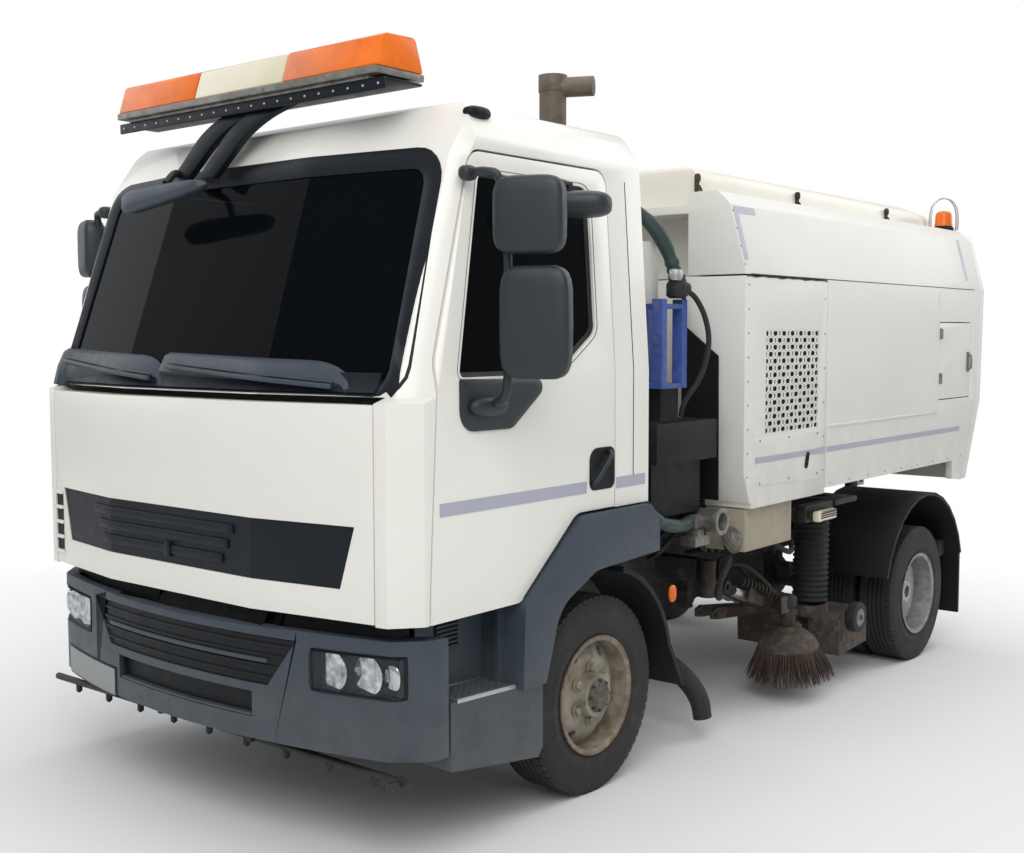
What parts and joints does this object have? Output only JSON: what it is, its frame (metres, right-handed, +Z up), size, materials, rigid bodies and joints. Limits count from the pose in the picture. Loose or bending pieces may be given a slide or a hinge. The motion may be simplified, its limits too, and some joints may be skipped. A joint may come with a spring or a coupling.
{
  "type": "street sweeper truck",
  "caption": "Two-axle truck-mounted street sweeper with tilting cab, tipping hopper, rear door, suction nozzle and channel broom.",
  "frame": {"origin": "on the ground under the middle of the vehicle's bounding box", "axes": "+X to the vehicle's left, +Y to its rear, +Z up"},
  "size_m": [2.7888, 5.2475, 2.9954],
  "materials": {
    "cab_paint": "gloss off-white paint",
    "body_paint": "satin off-white paint with road dirt",
    "hood_plastic": "cream glass-fibre moulding",
    "beige_paint": "dirty beige paint",
    "grey_plastic": "slate blue-grey moulded plastic",
    "mirror_plastic": "dark slate moulded plastic",
    "black_plastic": "black moulded plastic",
    "dash_plastic": "dark grained plastic",
    "chassis_metal": "black chassis paint with dirt",
    "dark_metal": "dark painted metal",
    "gear_metal": "dirty bare and painted steel",
    "exhaust_metal": "heat-stained steel",
    "tank_aluminium": "brushed aluminium",
    "cast_aluminium": "cast aluminium, dirty",
    "blue_paint": "blue painted steel",
    "hose_rubber": "ribbed rubber hose",
    "roller_rubber": "worn solid rubber",
    "tyre": "road tyre",
    "front_wheel_steel": "dirty cream wheel paint",
    "rear_wheel_steel": "silver wheel paint",
    "glass": "dark tinted glass",
    "lamp_glass": "clear lamp cover over a bright reflector",
    "amber_lens": "amber lens",
    "seat_fabric": "woven dark seat cloth",
    "bristle": "stiff brown bristles"
  },
  "bodies": {
    "chassis": {"chassis_frame": "chassis_metal", "cross_members": "chassis_metal", "propshaft": "chassis_metal", "rear_springs": "chassis_metal", "engine": "dark_metal", "front_axle": "chassis_metal", "rear_axle": "chassis_metal", "bumper": "grey_plastic", "bumper_grille": "black_plastic", "headlamps": "lamp_glass", "spray_bar": "dark_metal", "step_left": "grey_plastic", "step_right": "grey_plastic", "mudguards": "black_plastic", "fuel_tank": "tank_aluminium", "battery_box": "black_plastic", "exhaust_stack": "exhaust_metal", "service_frame": "blue_paint", "hoses": "hose_rubber", "engine_housing": "body_paint", "tool_box": "beige_paint", "rear_bumper": "dark_metal", "hydrant_coupling": "cast_aluminium", "suction_hose": "hose_rubber"},
    "hopper": {"hopper": "body_paint", "hood": "hood_plastic", "beacon": "amber_lens"},
    "rear_door": {"rear_door": "body_paint"},
    "inspection_door": {"inspection_door": "body_paint"},
    "broom_bracket": {"broom_bracket": "gear_metal"},
    "broom_arm": {"broom_arm": "gear_metal"},
    "broom": {"broom": "bristle"},
    "nozzle": {"nozzle": "gear_metal"},
    "nozzle_roller": {"nozzle_roller": "roller_rubber"},
    "cab": {"cab_shell": "cab_paint", "windscreen": "glass", "light_bar": "amber_lens", "seats": "seat_fabric", "dashboard": "dash_plastic"},
    "front_panel": {"front_panel": "cab_paint", "grille_band": "black_plastic"},
    "door_left": {"door_left": "cab_paint", "door_glass_left": "glass", "mirrors_left": "mirror_plastic"},
    "door_right": {"door_right": "cab_paint", "door_glass_right": "glass", "mirrors_right": "mirror_plastic"},
    "knuckle_left": {"knuckle_left": "chassis_metal"},
    "knuckle_right": {"knuckle_right": "chassis_metal"},
    "wheel_front_left": {"tyre_front_left": "tyre", "wheel_front_left": "front_wheel_steel"},
    "wheel_front_right": {"tyre_front_right": "tyre", "wheel_front_right": "front_wheel_steel"},
    "wheels_rear_left": {"tyres_rear_left": "tyre", "wheels_rear_left": "rear_wheel_steel"},
    "wheels_rear_right": {"tyres_rear_right": "tyre", "wheels_rear_right": "rear_wheel_steel"}
  },
  "joints": [
    {"name": "cab_tilt", "type": "hinge", "parent": "chassis", "child": "cab", "pos_m": [0, -2.48911, 0.5683], "axis": [1, 0, 0], "range_deg": [0, 40]},
    {"name": "front_panel_lift", "type": "hinge", "parent": "cab", "child": "front_panel", "pos_m": [0, -2.60359, 1.52122], "axis": [-1, 0, 0], "range_deg": [0, 75]},
    {"name": "door_left_open", "type": "hinge", "parent": "cab", "child": "door_left", "pos_m": [1.063, -2.3819, 0.9518], "axis": [0, -0.025, -0.9997], "range_deg": [0, 75]},
    {"name": "door_right_open", "type": "hinge", "parent": "cab", "child": "door_right", "pos_m": [-1.063, -2.3819, 0.9518], "axis": [0, 0.025, 0.9997], "range_deg": [0, 75]},
    {"name": "steer_left", "type": "hinge", "parent": "chassis", "child": "knuckle_left", "pos_m": [0.8, -1.363, 0.388], "axis": [0, 0, 1], "range_deg": [-38, 38]},
    {"name": "steer_right", "type": "hinge", "parent": "chassis", "child": "knuckle_right", "pos_m": [-0.8, -1.363, 0.388], "axis": [0, 0, 1], "range_deg": [-38, 38]},
    {"name": "wheel_front_left_spin", "type": "hinge", "parent": "knuckle_left", "child": "wheel_front_left", "pos_m": [0.902, -1.363, 0.388], "axis": [1, 0, 0], "continuous": true},
    {"name": "wheel_front_right_spin", "type": "hinge", "parent": "knuckle_right", "child": "wheel_front_right", "pos_m": [-0.902, -1.363, 0.388], "axis": [1, 0, 0], "continuous": true},
    {"name": "wheels_rear_left_spin", "type": "hinge", "parent": "chassis", "child": "wheels_rear_left", "pos_m": [0.935, 1.787, 0.388], "axis": [1, 0, 0], "continuous": true},
    {"name": "wheels_rear_right_spin", "type": "hinge", "parent": "chassis", "child": "wheels_rear_right", "pos_m": [-0.935, 1.787, 0.388], "axis": [1, 0, 0], "continuous": true},
    {"name": "hopper_tip", "type": "hinge", "parent": "chassis", "child": "hopper", "pos_m": [0, 2.26028, 0.9852], "axis": [-1, 0, 0], "range_deg": [0, 50]},
    {"name": "rear_door_open", "type": "hinge", "parent": "hopper", "child": "rear_door", "pos_m": [0, 2.56301, 2.52028], "axis": [1, 0, 0], "range_deg": [0, 80]},
    {"name": "inspection_door_open", "type": "hinge", "parent": "hopper", "child": "inspection_door", "pos_m": [1.071, 1.91289, 1.70481], "axis": [0, 0.0309, -0.9995], "range_deg": [0, 110]},
    {"name": "broom_swing", "type": "hinge", "parent": "chassis", "child": "broom_bracket", "pos_m": [0.7, -0.033, 0.65], "axis": [0, 0, -1], "range_deg": [0, 20]},
    {"name": "broom_lower", "type": "hinge", "parent": "broom_bracket", "child": "broom_arm", "pos_m": [0.7, 0.082, 0.6], "axis": [-1, 0, 0], "range_deg": [0, 12]},
    {"name": "broom_spin", "type": "hinge", "parent": "broom_arm", "child": "broom", "pos_m": [0.88, 0.457, 0.44], "axis": [0, -0.1392, 0.9903], "continuous": true},
    {"name": "nozzle_lower", "type": "hinge", "parent": "chassis", "child": "nozzle", "pos_m": [0, 0.197, 0.43], "axis": [-1, 0, 0], "range_deg": [0, 10], "deforming": ["suction_hose"]},
    {"name": "roller_spin", "type": "hinge", "parent": "nozzle", "child": "nozzle_roller", "pos_m": [1.042, 0.927, 0.372], "axis": [1, 0, 0], "continuous": true}
  ],
  "couplings": [
    {"joint": "steer_right", "follows": "steer_left", "ratio": 1}
  ]
}
